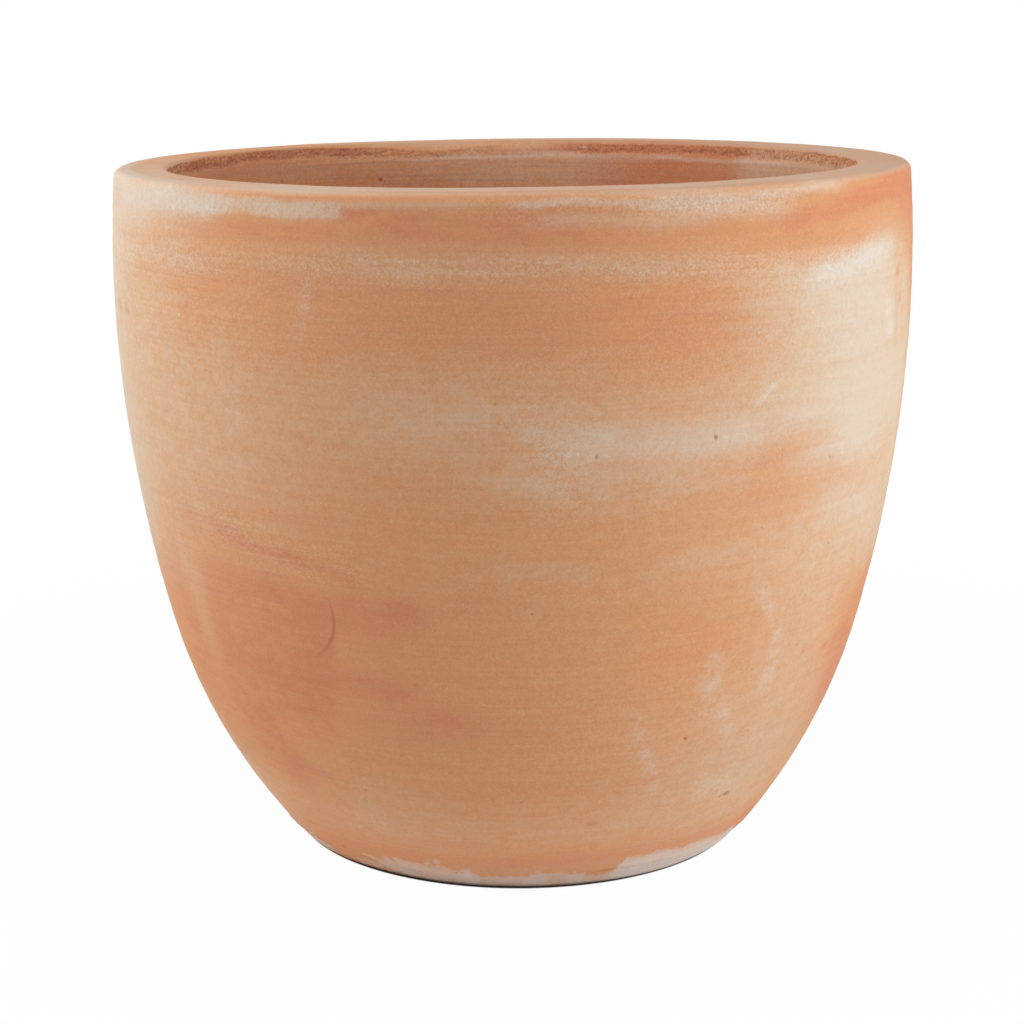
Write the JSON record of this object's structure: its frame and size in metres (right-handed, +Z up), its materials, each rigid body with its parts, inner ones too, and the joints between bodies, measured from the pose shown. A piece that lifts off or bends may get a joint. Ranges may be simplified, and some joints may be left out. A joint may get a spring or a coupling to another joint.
{
  "type": "terracotta flower pot",
  "caption": "Hand-made unglazed terracotta flower pot: deep round bowl with a broad flat rim, a narrow pale foot and a central drain hole.",
  "frame": {"origin": "centre of the resting face under the foot", "axes": "+Z up along the pot's axis, through the drain hole and the mouth; -Y towards the picture's camera"},
  "size_m": [0.4, 0.4, 0.343],
  "materials": {
    "foot_terracotta": "matte unglazed, pale with lime and dust",
    "wall_terracotta": "matte unglazed, mottled tan and orange with pale bloom",
    "rim_terracotta": "matte unglazed, pale pink tan on top, brown and rough inside"
  },
  "bodies": {
    "root": {"base_slab": "foot_terracotta", "wall": "wall_terracotta", "rim": "rim_terracotta"}
  },
  "joints": []
}
